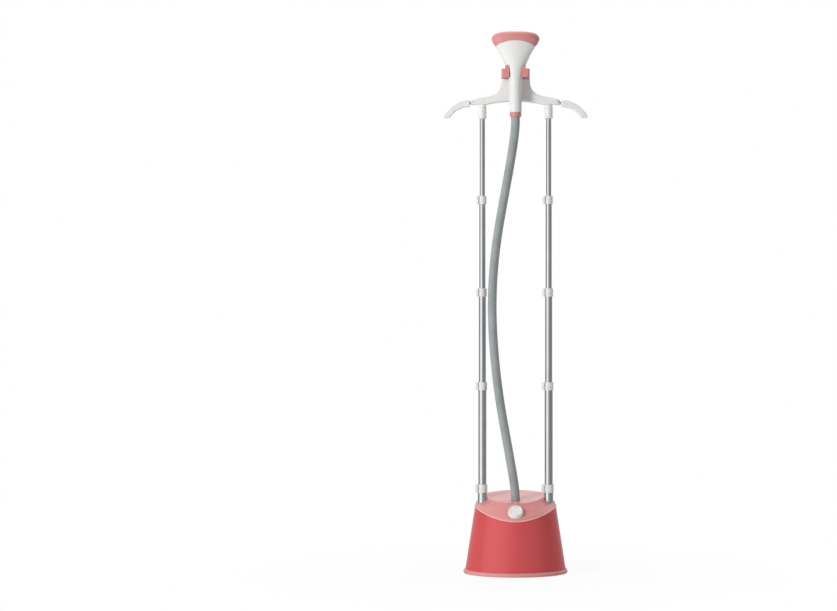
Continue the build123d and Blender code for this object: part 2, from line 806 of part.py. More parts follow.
def make_fork(cavity):
    """Cradle fork on the tower: two prongs with raised tips in front of the handle."""
    middle_y = (fork_front_y + fork_rear_y) / 2
    plan = Pos(0, middle_y) * RectangleRounded(2 * fork_half_width, fork_rear_y - fork_front_y, fork_corner)
    fork = prism(plan, tower_top, tower_top + fork_height)
    fork = fillet(fork.faces().sort_by(Axis.Z)[-1].edges(), fork_corner / 2)
    for side in (-1, 1):
        inner = side * fork_gap_half
        outer = side * (fork_gap_half + fork_tip_width)
        high = tower_top + fork_height + fork_tip_height
        rear = fork_front_y + fork_tip_depth
        tip = block(min(inner, outer), max(inner, outer), fork_front_y, rear, tower_top, high)
        crown = tip.faces().sort_by(Axis.Z)[-1].edges()
        fork += fillet(crown, fork_tip_width / 3)
    slot = block(-fork_gap_half, fork_gap_half, fork_front_y, handle_y, tower_top, 2 * tower_top)
    return fork - slot - cavity


def make_hose():
    """Steam hose: a hollow tube along straight runs joined by wide arcs."""
    points = [Vector(*p) for p in hose_route]
    radii = []
    for before, here, after in zip(points, points[1:], points[2:]):
        turn = (here - before).get_angle(after - here)
        shorter = min((here - before).length, (after - here).length)
        radii.append(bend_share * shorter / tan(radians(turn) / 2))
    route = FilletPolyline(*points, radius=radii)
    ring = Circle(hose_od / 2) - Circle(hose_od / 2 - hose_wall)
    start = Plane(points[0], z_dir=points[1] - points[0])
    return sweep(start * ring, path=route)


skin = deck_skin()
hollow = deck_hollow()
export("base_tray", make_tray())
export("rubber_feet", make_feet())
export("housing_screws", make_screws())
export("pole_sockets", make_sockets())
export("body_shell", make_shell())
export("cord_gland", make_gland())
export("deck_panel", make_deck(skin, hollow))
export("control_knob", make_knob())
export("rotary_switch", make_switch())
export("indicator_light", make_light())
export("tank_well", make_well())
export("water_tank", make_tank())
export("tank_valve", make_valve())
export("tank_lid", make_lid(skin, hollow))
export("boiler", make_boiler())
export("boiler_cover", make_boiler_cover())
export("steam_pipe", make_steam_pipe())
export("thermostat", make_thermostat())
export("feed_tube", make_feed_tube())

for side, side_name in ((-1, "left"), (1, "right")):
    for stage in range(stage_count):
        export(f"{side_name}_tube_{stage + 1}", make_tube(side, stage))
    for stage in range(stage_count - 1):
        export(f"{side_name}_collar_{stage + 1}", make_collar(side, stage))
        export(f"{side_name}_lever_{stage + 1}", make_lever(side, stage))
    export(f"{side_name}_wing", make_wing(side))

export("pole_sleeves", make_sleeves())
export("wing_pins", make_wing_pins())
export("hanger_front", make_hanger_half(-1))
export("hanger_rear", make_hanger_half(1))

head_outer = head_form(0)
head_inner = head_form(-head_wall) - block(
    -flange_semi_x, flange_semi_x, -flange_semi_y, flange_semi_y,
    head_sections[-1][0] - head_wall, 2 * head_sections[-1][0],
)
head_shell, head_bezel = make_head(head_outer, head_inner)
export("head_shell", head_shell)
export("head_bezel", head_bezel)
export("steam_plate", make_plate(head_outer))
export("hose_collar", make_hose_collar())
export("cradle_fork", make_fork(head_form(cradle_clearance)))
export("steam_hose", make_hose())
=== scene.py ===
# %% [markdown]
# # An upright garment steamer
# The lesson dresses a measured CAD model of a garment steamer: a red and pink
# base, two telescopic poles, a white hanger, a grey woven hose and a steam head.
# The measured solids stay where they are. What Blender adds is the soft hose,
# the smooth head, a rib on the deck painted paler as a painted highlight, and a finish for every
# surface.

# %% Load the measured frame
import math
import bpy
import numpy as np
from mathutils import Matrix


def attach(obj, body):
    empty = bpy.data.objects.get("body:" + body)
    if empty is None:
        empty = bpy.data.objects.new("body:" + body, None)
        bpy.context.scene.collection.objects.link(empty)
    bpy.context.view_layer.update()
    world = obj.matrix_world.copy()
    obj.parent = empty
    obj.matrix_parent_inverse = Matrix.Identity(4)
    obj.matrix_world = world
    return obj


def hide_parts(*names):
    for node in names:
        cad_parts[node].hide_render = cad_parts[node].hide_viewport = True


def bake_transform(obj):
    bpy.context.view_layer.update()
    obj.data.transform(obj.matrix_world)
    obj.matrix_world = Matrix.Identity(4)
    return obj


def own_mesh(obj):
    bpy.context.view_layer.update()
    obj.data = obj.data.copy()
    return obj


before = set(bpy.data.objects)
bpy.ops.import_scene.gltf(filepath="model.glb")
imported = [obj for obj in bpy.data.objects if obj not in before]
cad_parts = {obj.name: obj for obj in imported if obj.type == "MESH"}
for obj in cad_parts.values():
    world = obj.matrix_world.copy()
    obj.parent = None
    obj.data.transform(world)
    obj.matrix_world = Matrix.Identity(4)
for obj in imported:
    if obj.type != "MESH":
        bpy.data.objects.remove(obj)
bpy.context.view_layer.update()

scene = bpy.context.scene

# %% [markdown]
# ## The camera
# The picture was taken from far away with a level camera, so upright lines stay
# upright. A long lens seven metres away gives the same view. The object stands
# right of the middle, which a small sideways lens shift copies without turning
# the camera.

# %% Camera
VIEW_DISTANCE = 7.0
VIEW_WIDTH = 2.5755
VIEW_HEIGHT = 0.823
VIEW_END = 100.0
IMAGE_WIDTH = 837
OBJECT_COLUMN = 515.5
SENSOR = 36.0

camera_data = bpy.data.cameras.new("studio_camera")
camera_data.sensor_width = SENSOR
camera_data.lens = SENSOR * VIEW_DISTANCE / VIEW_WIDTH
camera_data.shift_x = (IMAGE_WIDTH / 2 - OBJECT_COLUMN) / IMAGE_WIDTH
camera_data.clip_end = VIEW_END
camera = bpy.data.objects.new("studio_camera", camera_data)
camera.location = (0.0, -VIEW_DISTANCE, VIEW_HEIGHT)
camera.rotation_euler = (math.radians(90.0), 0.0, 0.0)
scene.collection.objects.link(camera)
scene.camera = camera
print("lens", round(camera_data.lens, 1), "shift", round(camera_data.shift_x, 3))

# %% [markdown]
# ## Surfaces from grids
# Every new piece is a grid of points: one parameter runs along the piece and
# the other one runs round it. Numpy works out all points at once, and the faces
# join each point with its neighbours. A closed direction joins the last column
# to the first, so no seam stays open. A subdivided cage would need fewer points,
# but it would not pass through the measured sizes.

# %% Grid helpers
def unit(vectors):
    """Each row divided by its own length."""
    return vectors / np.linalg.norm(vectors, axis=1, keepdims=True)


def grid_faces(rows, columns):
    """Quads of a tube grid: point (i, j) joins (i, j+1), (i+1, j+1), (i+1, j), j wrapping round."""
    i, j = np.meshgrid(np.arange(rows - 1), np.arange(columns), indexing="ij")
    k = (j + 1) % columns
    corners = [i * columns + j, i * columns + k, (i + 1) * columns + k, (i + 1) * columns + j]
    return np.stack(corners, axis=-1).reshape(-1, 4)


def lay_map(mesh, uv, columns, quad_count):
    """Map on the side faces: u round, v along; corners that wrap past the last column get u + 1."""
    loops = np.zeros(len(mesh.loops), dtype=np.int32)
    mesh.loops.foreach_get("vertex_index", loops)
    flat = uv.reshape(-1, 2)[loops]
    side = np.arange(4 * quad_count)
    in_last_column = side // 4 % columns == columns - 1
    at_first_point = loops[side] % columns == 0
    flat[side[in_last_column & at_first_point], 0] += 1.0
    layer = mesh.uv_layers.new(name="UVMap")
    layer.data.foreach_set("uv", flat.astype(np.float32).reshape(-1))


def sharpen_ends(mesh, rows, columns):
    """Sharp edges: those that join two points of the first row or two of the last."""
    pairs = np.zeros(2 * len(mesh.edges), dtype=np.int32)
    mesh.edges.foreach_get("vertices", pairs)
    row = pairs.reshape(-1, 2) // columns
    at_end = (row[:, 0] == row[:, 1]) & np.isin(row[:, 0], (0, rows - 1))
    mesh.edges.foreach_set("use_edge_sharp", at_end)


print("grid helpers ready")

# %% Tube from a grid
def tube_object(name, points, uv=None):
    """Closed tube from a grid of points (rows, columns, 3), with a flat cap at both ends."""
    rows, columns, _ = points.shape
    quads = grid_faces(rows, columns)
    first_row = np.arange(columns)
    caps = [first_row[::-1].tolist(), (first_row + (rows - 1) * columns).tolist()]
    mesh = bpy.data.meshes.new(name)
    mesh.from_pydata(points.reshape(-1, 3).tolist(), [], quads.tolist() + caps)
    smooth = np.r_[np.ones(len(quads), bool), np.zeros(len(caps), bool)]
    mesh.polygons.foreach_set("use_smooth", smooth)
    if uv is not None:
        lay_map(mesh, uv, columns, len(quads))
    mesh.update()
    mesh.validate()
    sharpen_ends(mesh, rows, columns)
    piece = bpy.data.objects.new(name, mesh)
    scene.collection.objects.link(piece)
    return piece


print("tube helper ready")

# %% [markdown]
# ## The steam hose
# A fabric-sleeved hose leaves the deck, bows to the left under its own weight
# and rises into the handle. Its line is a smooth spline through the measured
# route. A curve with a round bevel would draw it too, but a grid also gives a
# map on which the weave can follow the hose.

# %% Hose route
HOSE_DIAMETER = 0.027
HOSE_RADIUS = 0.5 * HOSE_DIAMETER
SPLINE_ORDER = 3
SPLINE_STEPS = 32
hose_route = np.array([
    (0.0, -0.0260, 0.213), (0.0, -0.0260, 0.250), (-0.0095, -0.0270, 0.312),
    (-0.0260, -0.0290, 0.405), (-0.0470, -0.0320, 0.520), (-0.0630, -0.0350, 0.645),
    (-0.0715, -0.0370, 0.770), (-0.0710, -0.0385, 0.885), (-0.0610, -0.0395, 1.000),
    (-0.0430, -0.0403, 1.110), (-0.0235, -0.0405, 1.215), (-0.0080, -0.0403, 1.305),
    (0.0, -0.0400, 1.368), (0.0, -0.0400, 1.400),
])


def spline_points(name, control):
    """Points on the NURBS curve of order three whose control points are the route."""
    curve = bpy.data.curves.new(name, "CURVE")
    curve.dimensions = "3D"
    curve.resolution_u = SPLINE_STEPS
    spline = curve.splines.new("NURBS")
    spline.points.add(len(control) - 1)
    spline.points.foreach_set("co", np.c_[control, np.ones(len(control))].ravel())
    spline.order_u = SPLINE_ORDER
    spline.use_endpoint_u = True
    holder = bpy.data.objects.new(name, curve)
    line = bpy.data.meshes.new_from_object(holder)
    points = np.zeros(3 * len(line.vertices))
    line.vertices.foreach_get("co", points)
    bpy.data.meshes.remove(line)
    bpy.data.objects.remove(holder)
    bpy.data.curves.remove(curve)
    return points.reshape(-1, 3)


hose_line = spline_points("hose_route", hose_route)
hose_run = np.r_[0.0, np.cumsum(np.linalg.norm(np.diff(hose_line, axis=0), axis=1))]
print("hose points", len(hose_line), "length", round(float(hose_run[-1]), 4))

# %% [markdown]
# ## Level rings
# The poles can be pushed down, so the hose has to gather in stretches. The rings
# of its grid lie level, like slices of a loaf, although the hose leans. Then two
# neighbouring stretches share one flat joint and stay together when they gather.
# Rings square to the line would be simpler, but their edges would cut into each
# other.

# %% Hose rings
RING_SIDES = 40
RING_STEP = 0.004
FEWEST_RINGS = 3


def along_hose(run):
    """Points of the hose's line at the given lengths from its start."""
    return np.stack([np.interp(run, hose_run, hose_line[:, k]) for k in range(3)], axis=1)


def hose_grid(low_run, high_run):
    """Level rings: centre + radius (cos a across + sin a forward), where each point
    is then slid along the line until it lies at its centre's height."""
    count = max(FEWEST_RINGS, int(round((high_run - low_run) / RING_STEP)) + 1)
    run = np.linspace(low_run, high_run, count)
    centre = along_hose(run)
    tangent = unit(along_hose(run + RING_STEP) - along_hose(run - RING_STEP))
    across = unit(np.cross(np.array([0.0, 1.0, 0.0]), tangent))
    forward = np.cross(tangent, across)
    a = np.linspace(0.0, 2.0 * np.pi, RING_SIDES, endpoint=False)
    cosine, sine = np.cos(a)[None, :, None], np.sin(a)[None, :, None]
    ring = cosine * across[:, None, :] + sine * forward[:, None, :]
    slide = -ring[:, :, 2] / tangent[:, None, 2]
    ring = ring + slide[:, :, None] * tangent[:, None, :]
    points = centre[:, None, :] + HOSE_RADIUS * ring
    along = (run[:, None] + HOSE_RADIUS * slide) / (np.pi * HOSE_DIAMETER)
    uv = np.stack(np.broadcast_arrays(a[None, :] / (2.0 * np.pi), along), axis=-1)
    return points, uv, centre


print("rings of", RING_SIDES, "points every", RING_STEP, "m")

# %% [markdown]
# ## Hose stretches
# Four stretches ride one each on the base and on pole stages 2, 3 and 4, and the
# last one stays where it lies, its place written into its points. A single long
# tube could follow only one of these motions.
# A hair's gap at each joint keeps neighbours from sharing points.

# %% Hose stretches
JOINT_GAP = 0.00002
stretches = [
    ("hose_lower", "base", "stage_2_slide", 0.213, 0.434),
    ("hose_rising", "stage_2", "stage_3_slide", 0.434, 0.706),
    ("hose_middle", "stage_3", "stage_4_slide", 0.706, 0.976),
    ("hose_upper", "stage_4", "stage_5_slide", 0.976, 1.228),
    ("hose_top", "stage_5", None, 1.228, 1.400),
]

hose_pieces = []
for name, body, joint, low_z, high_z in stretches:
    low_run, high_run = np.interp([low_z, high_z - JOINT_GAP], hose_line[:, 2], hose_run)
    points, uv, centre = hose_grid(low_run, high_run)
    piece = tube_object(name, points, uv)
    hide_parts("steam_hose")
    if joint:
        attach(piece, body)
        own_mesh(piece)
    else:
        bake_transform(piece)
    hose_pieces.append(piece)
    print(name, "rides on", body, "length", round(float(high_run - low_run), 3))

# %% [markdown]
# ## Shared effects
# Moulded plastic is never perfectly even: it has a fine spark-eroded grain, slow
# drifts of tone and a few places that hands have polished. Drawn tube has fine
# lines along its length. Each effect is a node group with its own inputs, built
# once and used by several finishes. Small helpers place and link the nodes.

# %% Node helpers
def new_group(name, inputs, outputs):
    """Empty shader group with float or vector sockets, and its two end nodes."""
    group = bpy.data.node_groups.new(name, "ShaderNodeTree")
    for label, kind, value in inputs:
        socket = group.interface.new_socket(label, in_out="INPUT", socket_type="NodeSocket" + kind)
        if value is not None:
            socket.default_value = value
    for label, kind in outputs:
        group.interface.new_socket(label, in_out="OUTPUT", socket_type="NodeSocket" + kind)
    return group, group.nodes.new("NodeGroupInput"), group.nodes.new("NodeGroupOutput")


def add(tree, kind, feeds=(), **settings):
    """One node with its settings; each feed is an input's name or number and a socket or value."""
    node = tree.nodes.new("ShaderNode" + kind)
    for key, value in settings.items():
        setattr(node, key, value)
    for target, source in feeds:
        if hasattr(source, "is_output"):
            tree.links.new(source, node.inputs[target])
        else:
            node.inputs[target].default_value = source
    return node


def place_group(tree, group, vector):
    """A shared effect placed in a material and fed with a coordinate."""
    node = tree.nodes.new("ShaderNodeGroup")
    node.node_tree = group
    tree.links.new(vector, node.inputs["Vector"])
    return node


print("node helpers ready")

# %% Value helpers
def math_node(tree, operation, a, b=0.0):
    """Output of one arithmetic node."""
    return add(tree, "Math", [(0, a), (1, b)], operation=operation).outputs[0]


def noise(tree, vector, scale, detail):
    """Cloudy noise between zero and one, about a half on average."""
    node = add(tree, "TexNoise", [("Vector", vector), ("Scale", scale), ("Detail", detail)])
    return node.outputs["Fac"]


def about_zero(tree, value):
    """Noise minus its average of a half."""
    return math_node(tree, "SUBTRACT", value, 0.5)


def carry(tree, value, old, new=(0.0, 1.0)):
    """Value carried in a straight line from the old range to the new one, and kept inside it."""
    node = add(tree, "MapRange", [("Value", value), ("From Min", old[0]), ("From Max", old[1]),
                                  ("To Min", new[0]), ("To Max", new[1])])
    return node.outputs[0]


def mix_values(tree, share, a, b):
    """Value a where the share is zero, b where it is one; inputs 2 and 3 are the plain values."""
    return add(tree, "Mix", [(0, share), (2, a), (3, b)], data_type="FLOAT").outputs[0]


print("value helpers ready")

# %% [markdown]
# ## Moulded grain
# A mould leaves its own skin on plastic: a grain too fine to be seen point by point,
# a tone that drifts slowly and places rubbed smooth. Three noises of different size
# stand for them. Painted pictures would need every solid unwrapped, while noise in
# the object's own space needs no map.

# %% Moulded grain
def build_moulded_grain():
    """Height is fine grain noise; Tone and Rough are slow noise about zero."""
    group, start, end = new_group(
        "moulded_grain",
        [("Vector", "Vector", None), ("Grain Scale", "Float", 1400.0),
         ("Drift Scale", "Float", 9.0), ("Smear Scale", "Float", 25.0)],
        [("Height", "Float"), ("Tone", "Float"), ("Rough", "Float")],
    )
    vector = start.outputs["Vector"]
    grain = noise(group, vector, start.outputs["Grain Scale"], 2.0)
    drift = noise(group, vector, start.outputs["Drift Scale"], 3.0)
    smear = noise(group, vector, start.outputs["Smear Scale"], 2.0)
    group.links.new(grain, end.inputs["Height"])
    group.links.new(about_zero(group, drift), end.inputs["Tone"])
    group.links.new(about_zero(group, smear), end.inputs["Rough"])
    return group


moulded_grain = build_moulded_grain()
print(moulded_grain.name, len(moulded_grain.nodes), "nodes")

# %% [markdown]
# ## Drawn lines
# A tube is pulled through a ring when it is made, which leaves fine lines along it.
# Noise that is squeezed across the pole and stretched along it draws such lines.
# Single scratches would look like damage.

# %% Drawn lines
def build_drawn_lines():
    """Height is noise squeezed round the pole and stretched along it; Tone is slow noise."""
    group, start, end = new_group(
        "drawn_lines",
        [("Vector", "Vector", None), ("Across", "Float", 900.0), ("Along", "Float", 6.0),
         ("Patch Scale", "Float", 22.0)],
        [("Height", "Float"), ("Tone", "Float")],
    )
    vector, across = start.outputs["Vector"], start.outputs["Across"]
    stretch = add(group, "CombineXYZ", [(0, across), (1, across), (2, start.outputs["Along"])])
    scaled = add(group, "VectorMath", [(0, vector), (1, stretch.outputs[0])], operation="MULTIPLY")
    lines = noise(group, scaled.outputs[0], 1.0, 3.0)
    patch = noise(group, vector, start.outputs["Patch Scale"], 3.0)
    group.links.new(lines, end.inputs["Height"])
    group.links.new(about_zero(group, patch), end.inputs["Tone"])
    return group


drawn_lines = build_drawn_lines()
print(drawn_lines.name, len(drawn_lines.nodes), "nodes")

# %% [markdown]
# ## The weave
# The sleeve is a plain weave: each thread goes over one and under the next. Two
# waves, one round the hose and one along it, stand for the two sets of threads,
# and a slower pair decides which set lies on top. A picture of cloth would show
# a seam, and waves on the hose's own map close by themselves.

# %% Woven sleeve
def build_woven_sleeve():
    """Height is the wave of the thread on top, plus fuzz; Tone is that wave, plus slow soil."""
    group, start, end = new_group(
        "woven_sleeve",
        [("Vector", "Vector", None), ("Threads", "Float", 52.0),
         ("Fuzz Scale", "Float", 190.0), ("Soil Scale", "Float", 1.7)],
        [("Height", "Float"), ("Tone", "Float")],
    )
    vector = start.outputs["Vector"]
    split = add(group, "SeparateXYZ", [(0, vector)])
    turn = math_node(group, "MULTIPLY", start.outputs["Threads"], 2.0 * math.pi)
    around, along = [math_node(group, "MULTIPLY", split.outputs[k], turn) for k in (0, 1)]
    warp, weft = [math_node(group, "ABSOLUTE", math_node(group, "SINE", wave))
                  for wave in (around, along)]
    slow = [math_node(group, "SINE", math_node(group, "MULTIPLY", wave, 0.5))
            for wave in (around, along)]
    over = carry(group, math_node(group, "MULTIPLY", *slow), (-0.2, 0.2))
    thread = mix_values(group, over, warp, weft)
    fuzz = noise(group, vector, start.outputs["Fuzz Scale"], 3.0)
    soil = noise(group, vector, start.outputs["Soil Scale"], 4.0)
    height = math_node(group, "ADD", thread, math_node(group, "MULTIPLY", fuzz, 0.35))
    tone = math_node(group, "ADD", math_node(group, "MULTIPLY", thread, 0.5),
                     math_node(group, "MULTIPLY", soil, 0.5))
    group.links.new(height, end.inputs["Height"])
    group.links.new(tone, end.inputs["Tone"])
    return group


woven_sleeve = build_woven_sleeve()
print(woven_sleeve.name, len(woven_sleeve.nodes), "nodes")

# %% [markdown]
# ## Finishes
# A finish starts from its plain colour. The shared effect then moves the colour
# a little up and down, roughens or polishes it and raises a faint bump. Colours
# are written as display values and turned into the linear light that shaders use.

# %% Finish helpers
NOISE_SWING = (-0.3, 0.3)


def linear(red, green, blue):
    """Linear colour of a display colour from 0 to 255: a straight foot, then a power of 2.4."""
    value = np.array([red, green, blue]) / 255.0
    low = value / 12.92
    high = ((value + 0.055) / 1.055) ** 2.4
    return tuple(float(v) for v in np.where(value <= 0.04045, low, high)) + (1.0,)


def new_finish(name):
    """New material with its node tree and its Principled shader."""
    material = bpy.data.materials.new(name)
    material.use_nodes = True
    tree = material.node_tree
    return material, tree, tree.nodes["Principled BSDF"]


def tint(tree, color, drift, amount):
    """Colour times one plus or minus the amount; inputs 6 and 7 of a Mix node are its colours."""
    shade = carry(tree, drift, NOISE_SWING, (1.0 - amount, 1.0 + amount))
    mixed = add(tree, "Mix", data_type="RGBA", blend_type="MULTIPLY",
                feeds=[(0, 1.0), (6, color), (7, shade)])
    return mixed.outputs[2]


def raise_bump(tree, shader, height, strength, depth):
    """Relief in the shader's normal, as deep as the depth at strength one."""
    relief = add(tree, "Bump", [("Height", height), ("Strength", strength), ("Distance", depth)])
    tree.links.new(relief.outputs[0], shader.inputs["Normal"])


print("finish helpers ready")

# %% [markdown]
# ## Moulded plastic
# Shells, trim, knob and rubber come out of moulds, so they share one recipe and
# differ in a few values: colour, roughness, drift and depth of grain. One function
# keeps them alike, where separate materials would slowly grow apart.

# %% Moulded plastic
GRAIN_DEPTH = 0.0001
POLISH_SWING = 0.03
PLAIN_SOCKETS = {"specular": "Specular IOR Level", "coat": "Coat Weight",
                 "coat_roughness": "Coat Roughness", "clearness": "Transmission Weight"}


def moulded(name, color, roughness=0.32, drift=0.05, bump=0.05, **plain):
    """Moulded plastic: slow drift of colour, polished places, fine grain; plain values by name."""
    material, tree, shader = new_finish(name)
    grain = place_group(tree, moulded_grain, add(tree, "TexCoord").outputs["Object"])
    color_socket = tint(tree, color, grain.outputs["Tone"], drift)
    tree.links.new(color_socket, shader.inputs["Base Color"])
    rough = carry(tree, grain.outputs["Rough"], NOISE_SWING,
                  (roughness - POLISH_SWING, roughness + POLISH_SWING))
    tree.links.new(rough, shader.inputs["Roughness"])
    raise_bump(tree, shader, grain.outputs["Height"], bump, GRAIN_DEPTH)
    for label, value in plain.items():
        shader.inputs[PLAIN_SOCKETS[label]].default_value = value
    return material


print("moulded plastic ready, plain sockets", list(PLAIN_SOCKETS))

# %% [markdown]
# ## Drawn metal
# The poles are bright but not perfect mirrors: their lines spread a reflection
# sideways. The lines change the roughness and raise a very small bump. With equal
# scales across and along, the same recipe gives cast plates and plated screws.

# %% Drawn metal
LINE_DEPTH = 0.0003
LINE_SPREAD = (0.2, 0.8)
LINE_SWING = 0.07
METAL_DRIFT = 0.05


def drawn_metal(name, color, roughness, across=900.0, along=6.0, bump=0.02):
    """Drawn metal: lines along the tube in roughness and relief, and slow patches of tone."""
    material, tree, shader = new_finish(name)
    lines = place_group(tree, drawn_lines, add(tree, "TexCoord").outputs["Object"])
    lines.inputs["Across"].default_value = across
    lines.inputs["Along"].default_value = along
    color_socket = tint(tree, color, lines.outputs["Tone"], METAL_DRIFT)
    tree.links.new(color_socket, shader.inputs["Base Color"])
    rough = carry(tree, lines.outputs["Height"], LINE_SPREAD,
                  (roughness - LINE_SWING, roughness + LINE_SWING))
    tree.links.new(rough, shader.inputs["Roughness"])
    raise_bump(tree, shader, lines.outputs["Height"], bump, LINE_DEPTH)
    shader.inputs["Metallic"].default_value = 1.0
    return material


print("drawn metal ready")

# %% [markdown]
# ## Plastics and metals
# The base is moulded in a clear red and a dusty pink, everything at hand height
# in white. The poles are drawn aluminium and the feet are rubber. One finish for
# all pink would be simpler, but the deck is glossier than the tray, and its rolled
# edge is painted a paler pink as a painted highlight.

# %% Plastic and metal finishes
red_body = moulded("red_body", linear(208, 78, 80), roughness=0.32, drift=0.025, specular=0.65)
pink_tray = moulded("pink_tray", linear(222, 152, 150), roughness=0.34)
pink_deck = moulded("pink_deck", linear(222, 146, 144), roughness=0.26,
                    coat=0.6, coat_roughness=0.32)
# Paler pink for the deck's rolled lip: a painted highlight.
lip_painted_highlight = moulded("lip_painted_highlight", linear(236, 176, 174), roughness=0.22, drift=0.02)
pink_trim = moulded("pink_trim", linear(214, 142, 140), roughness=0.34)
white_shell = moulded("white_shell", linear(232, 232, 230), roughness=0.34, drift=0.02)
white_clamp = moulded("white_clamp", linear(228, 228, 227), roughness=0.38, drift=0.025, bump=0.08)
knob_white = moulded("knob_white", linear(238, 234, 232), roughness=0.30, drift=0.02)
dark_moulding = moulded("dark_moulding", linear(52, 52, 54), roughness=0.5, drift=0.08, bump=0.12)
black_rubber = moulded("black_rubber", linear(34, 34, 35), roughness=0.75, drift=0.12, bump=0.3,
                       specular=0.3)
pole_metal = drawn_metal("pole_metal", linear(206, 208, 210), 0.13)
cast_metal = drawn_metal("cast_metal", linear(196, 197, 198), 0.36, across=160.0, along=160.0,
                         bump=0.15)
screw_metal = drawn_metal("screw_metal", linear(170, 170, 172), 0.32, across=700.0, along=700.0)
lamp_lens = moulded("lamp_lens", linear(246, 243, 240), roughness=0.12, drift=0.02, bump=0.02,
                    coat=0.5)
tank_clear = moulded("tank_clear", linear(206, 216, 222), roughness=0.16, drift=0.03, bump=0.02,
                     clearness=0.75)
print("moulded and drawn finishes", len(bpy.data.materials))

# %% [markdown]
# ## The sleeve's finish
# The hose wears a grey woven sleeve, which keeps a hand from the hot tube inside.
# The weave's tone goes through a ramp from the grey between the threads to the
# grey on top of them, and the same weave raises the threads. A little sheen gives
# the soft edge that fuzzy thread has.

# %% Woven sleeve finish
SLEEVE_GREYS = [(0.15, linear(120, 126, 128)), (0.85, linear(184, 189, 190))]
THREAD_BUMP = 0.5
THREAD_DEPTH = 0.0006


def sleeve_finish():
    """Grey woven sleeve: thread tone in the colour, thread relief in the bump, a soft sheen."""
    material, tree, shader = new_finish("hose_sleeve")
    weave = place_group(tree, woven_sleeve, add(tree, "TexCoord").outputs["UV"])
    ramp = add(tree, "ValToRGB", [("Fac", weave.outputs["Tone"])])
    for stop, (position, grey) in zip(ramp.color_ramp.elements, SLEEVE_GREYS):
        stop.position = position
        stop.color = grey
    tree.links.new(ramp.outputs[0], shader.inputs["Base Color"])
    raise_bump(tree, shader, weave.outputs["Height"], THREAD_BUMP, THREAD_DEPTH)
    shader.inputs["Roughness"].default_value = 0.85
    shader.inputs["Specular IOR Level"].default_value = 0.25
    shader.inputs["Sheen Weight"].default_value = 0.25
    return material


hose_sleeve = sleeve_finish()
for piece in hose_pieces:
    piece.data.materials.append(hose_sleeve)
print("sleeve on", len(hose_pieces), "hose pieces")

# %% [markdown]
# ## Dressing the solids
# Every measured solid has one material slot. Its finish is linked to the object
# and not to the mesh, so the measured mesh itself stays as it came.

# %% Put the finishes on the solids
def dress(finish, *names):
    """Give every listed solid the finish in its material slot."""
    for name in names:
        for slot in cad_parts[name].material_slots:
            slot.link = "OBJECT"
            slot.material = finish


sides = ("left", "right")
clamps = [f"{side}_{kind}_{k}" for side in sides for kind in ("collar", "lever")
          for k in range(1, 5)]
tubes = [f"{side}_tube_{k}" for side in sides for k in range(1, 6)]
dress(red_body, "body_shell")
dress(pink_tray, "base_tray")
dress(pink_deck, "deck_panel", "tank_lid")
dress(pink_trim, "cradle_fork", "hose_collar", "head_bezel")
dress(white_shell, "hanger_front", "hanger_rear", "left_wing", "right_wing", "head_shell",
      "pole_sleeves")
dress(white_clamp, *clamps)
dress(knob_white, "control_knob")
dress(pole_metal, *tubes)
dress(cast_metal, "steam_plate", "boiler", "boiler_cover", "steam_pipe")
dress(screw_metal, "housing_screws", "wing_pins")
dress(black_rubber, "rubber_feet", "cord_gland")
dress(dark_moulding, "pole_sockets", "rotary_switch", "tank_well", "feed_tube", "tank_valve",
      "thermostat")
dress(tank_clear, "water_tank")
dress(lamp_lens, "indicator_light")
print("dressed", sum(bool(n.material_slots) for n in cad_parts.values()), "solids")

# %% [markdown]
# ## The smooth head
# Handle and head are one blown-up form: a slim oval grip that flares into a wide
# cone. The measured solid is a stack of straight-sided rings. Here a smooth curve
# runs through the same rings, and each point of the grid lies on the oval at its
# height. Smoothing the solid itself would shrink it away from its measured rings.

# %% Head form
HANDLE_Y = -0.040
PLATE_FRONT_Y = -0.0241
PLATE_LOW_Z = 1.583
# Each measured ring: its height, half its width and half its depth.
head_rings = np.array([
    (1.4140, 0.0190, 0.0175), (1.4800, 0.0192, 0.0175), (1.5220, 0.0206, 0.0182),
    (1.5460, 0.0266, 0.0198), (1.5660, 0.0350, 0.0216), (1.5900, 0.0465, 0.0240),
    (1.6100, 0.0584, 0.0263), (1.6260, 0.0688, 0.0282), (1.6380, 0.0732, 0.0288),
    (1.6470, 0.0702, 0.0272), (1.6540, 0.0620, 0.0235), (1.6585, 0.0490, 0.0175),
    (1.6605, 0.0360, 0.0110),
])
ring_z, ring_half_x, ring_half_y = head_rings.T


def smooth_curve(x, knots, values):
    """Cubic through the knots; each slope is the weighted mean of the two neighbouring slopes."""
    step = np.diff(knots)
    chord = np.diff(values) / step
    inner = (chord[:-1] * step[1:] + chord[1:] * step[:-1]) / (step[1:] + step[:-1])
    slope = np.r_[chord[0], inner, chord[-1]]
    i = np.clip(np.searchsorted(knots, x) - 1, 0, len(step) - 1)
    t = (x - knots[i]) / step[i]
    rise = values[i] * (1 + 2 * t) * (1 - t) ** 2 + values[i + 1] * t * t * (3 - 2 * t)
    return rise + step[i] * (slope[i] * t * (1 - t) ** 2 - slope[i + 1] * t * t * (1 - t))


def head_point(z, angle):
    """Point on the head: the oval of the ring curves at height z, cut flat in front of
    the steam plate wherever it lies above the plate's lower edge."""
    half_x = smooth_curve(z, ring_z, ring_half_x)
    half_y = smooth_curve(z, ring_z, ring_half_y)
    y = HANDLE_Y + half_y * np.sin(angle)
    y = np.where(z > PLATE_LOW_Z, np.minimum(y, PLATE_FRONT_Y), y)
    return np.stack([half_x * np.cos(angle), y, z], axis=-1)


print("head from z", ring_z[0], "to", ring_z[-1])

# %% [markdown]
# ## The cap's edge
# The head's top is a pink cap, and its lower edge is an arc seen from the front.
# The arc sets the height above each point's own x, while x changes with the height,
# so the two are worked out in turns until they agree. A flat cut through the mesh
# would leave a ragged edge.

